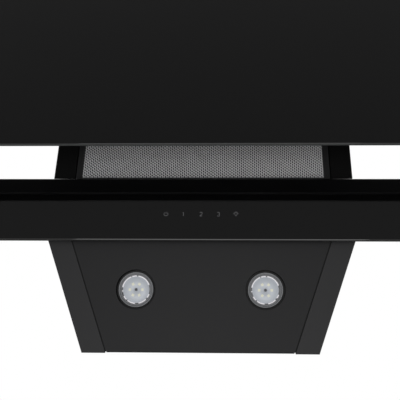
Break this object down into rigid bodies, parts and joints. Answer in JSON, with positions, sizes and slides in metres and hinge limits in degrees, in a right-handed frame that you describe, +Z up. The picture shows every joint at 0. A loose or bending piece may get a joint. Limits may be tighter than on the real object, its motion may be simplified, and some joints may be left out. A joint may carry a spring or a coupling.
{
  "type": "range hood",
  "caption": "Wall-hung angled range hood: black glass panels, a hinged front panel over a metal grease filter, round lamps and a touch-key strip.",
  "frame": {"origin": "midway between the two hanging holes, on the wall plane", "axes": "+X along the wall, +Y into the wall, +Z up along the duct spigot"},
  "size_m": [0.895, 0.4319, 0.5087],
  "materials": {
    "body_paint": "satin black powder coat",
    "lamp_panel_paint": "fine textured charcoal powder coat",
    "front_paint": "satin black powder coat",
    "filter_rim": "dark grey coated steel",
    "filter_metal": "expanded aluminium mesh",
    "latch_plastic": "fine grained black plastic",
    "black_glass": "tempered glass, printed black on its back",
    "tray_paint": "matt black powder coat",
    "board_green": "solder mask",
    "zinc_steel": "zinc plated steel",
    "rubber_black": "moulded rubber",
    "lamp_cup_plastic": "matt black plastic",
    "lamp_can_metal": "die-cast aluminium",
    "lamp_bezel_metal": "satin grey lacquer",
    "lamp_board_white": "white reflector board",
    "lamp_chip_yellow": "yellow phosphor",
    "housing_plastic": "moulded dark grey plastic",
    "motor_metal": "grey lacquered motor casing",
    "flap_plastic": "moulded white plastic",
    "box_plastic": "moulded off-white plastic",
    "capacitor_metal": "drawn aluminium can"
  },
  "bodies": {
    "hood_body": {"side_panel_left": "body_paint", "side_panel_right": "body_paint", "top_panel": "body_paint", "back_panel": "body_paint", "base_panel": "lamp_panel_paint", "front_sill": "front_paint", "front_header": "front_paint", "filter_rail_left": "front_paint", "filter_rail_right": "front_paint", "filter_frame": "filter_rim", "filter_mesh": "filter_metal", "filter_pad": "filter_metal", "latch_case": "latch_plastic", "lower_glass": "black_glass", "glass_carrier": "tray_paint", "touch_board": "board_green", "panel_screws": "zinc_steel", "hinge_ear_left": "zinc_steel", "hinge_ear_right": "zinc_steel", "hinge_pin_left": "zinc_steel", "hinge_pin_right": "zinc_steel", "stop_post_left": "zinc_steel", "stop_post_right": "zinc_steel", "motor_bracket": "zinc_steel", "flap_pin": "zinc_steel", "lamp_screws": "zinc_steel", "stop_buffer_left": "rubber_black", "stop_buffer_right": "rubber_black", "cable_gland": "rubber_black", "lamp_cup_left": "lamp_cup_plastic", "lamp_cup_right": "lamp_cup_plastic", "lamp_can_left": "lamp_can_metal", "lamp_can_right": "lamp_can_metal", "lamp_bezel_left": "lamp_bezel_metal", "lamp_bezel_right": "lamp_bezel_metal", "lamp_board_left": "lamp_board_white", "lamp_board_right": "lamp_board_white", "lamp_chips_left": "lamp_chip_yellow", "lamp_chips_right": "lamp_chip_yellow", "scroll_left": "housing_plastic", "scroll_right": "housing_plastic", "inlet_ring_left": "housing_plastic", "inlet_ring_right": "housing_plastic", "outlet_collar": "housing_plastic", "outlet_foot": "housing_plastic", "flap_seat": "housing_plastic", "motor": "motor_metal", "control_box": "box_plastic", "control_cover": "box_plastic", "capacitor": "capacitor_metal"},
    "front_panel": {"upper_glass": "black_glass", "panel_tray": "tray_paint", "tray_ribs": "tray_paint", "hinge_arm_left": "zinc_steel", "hinge_arm_right": "zinc_steel"},
    "blower_wheel": {"fan_wheel": "housing_plastic", "motor_shaft": "zinc_steel"},
    "flap_front": {"front_flap": "flap_plastic"},
    "flap_rear": {"rear_flap": "flap_plastic"},
    "latch": {"latch_slider": "latch_plastic"}
  },
  "joints": [
    {"name": "panel_hinge", "type": "hinge", "parent": "hood_body", "child": "front_panel", "pos_m": [0, -0.40636, 0.05813], "axis": [-1, 0, 0], "range_deg": [0, 70]},
    {"name": "fan_spin", "type": "hinge", "parent": "hood_body", "child": "blower_wheel", "pos_m": [0, -0.128, -0.075], "axis": [1, 0, 0], "continuous": true},
    {"name": "front_flap_swing", "type": "hinge", "parent": "hood_body", "child": "flap_front", "pos_m": [0, -0.19467, 0.06671], "axis": [-1, 0, 0], "range_deg": [0, 75]},
    {"name": "rear_flap_swing", "type": "hinge", "parent": "hood_body", "child": "flap_rear", "pos_m": [0, -0.19467, 0.06671], "axis": [1, 0, 0], "range_deg": [0, 75]},
    {"name": "latch_slide", "type": "slide", "parent": "hood_body", "child": "latch", "axis": [0, 0.5736, -0.8192], "range_m": [0, 0.006], "stiffness_N_per_m": 250, "springref_m": -0.004}
  ]
}
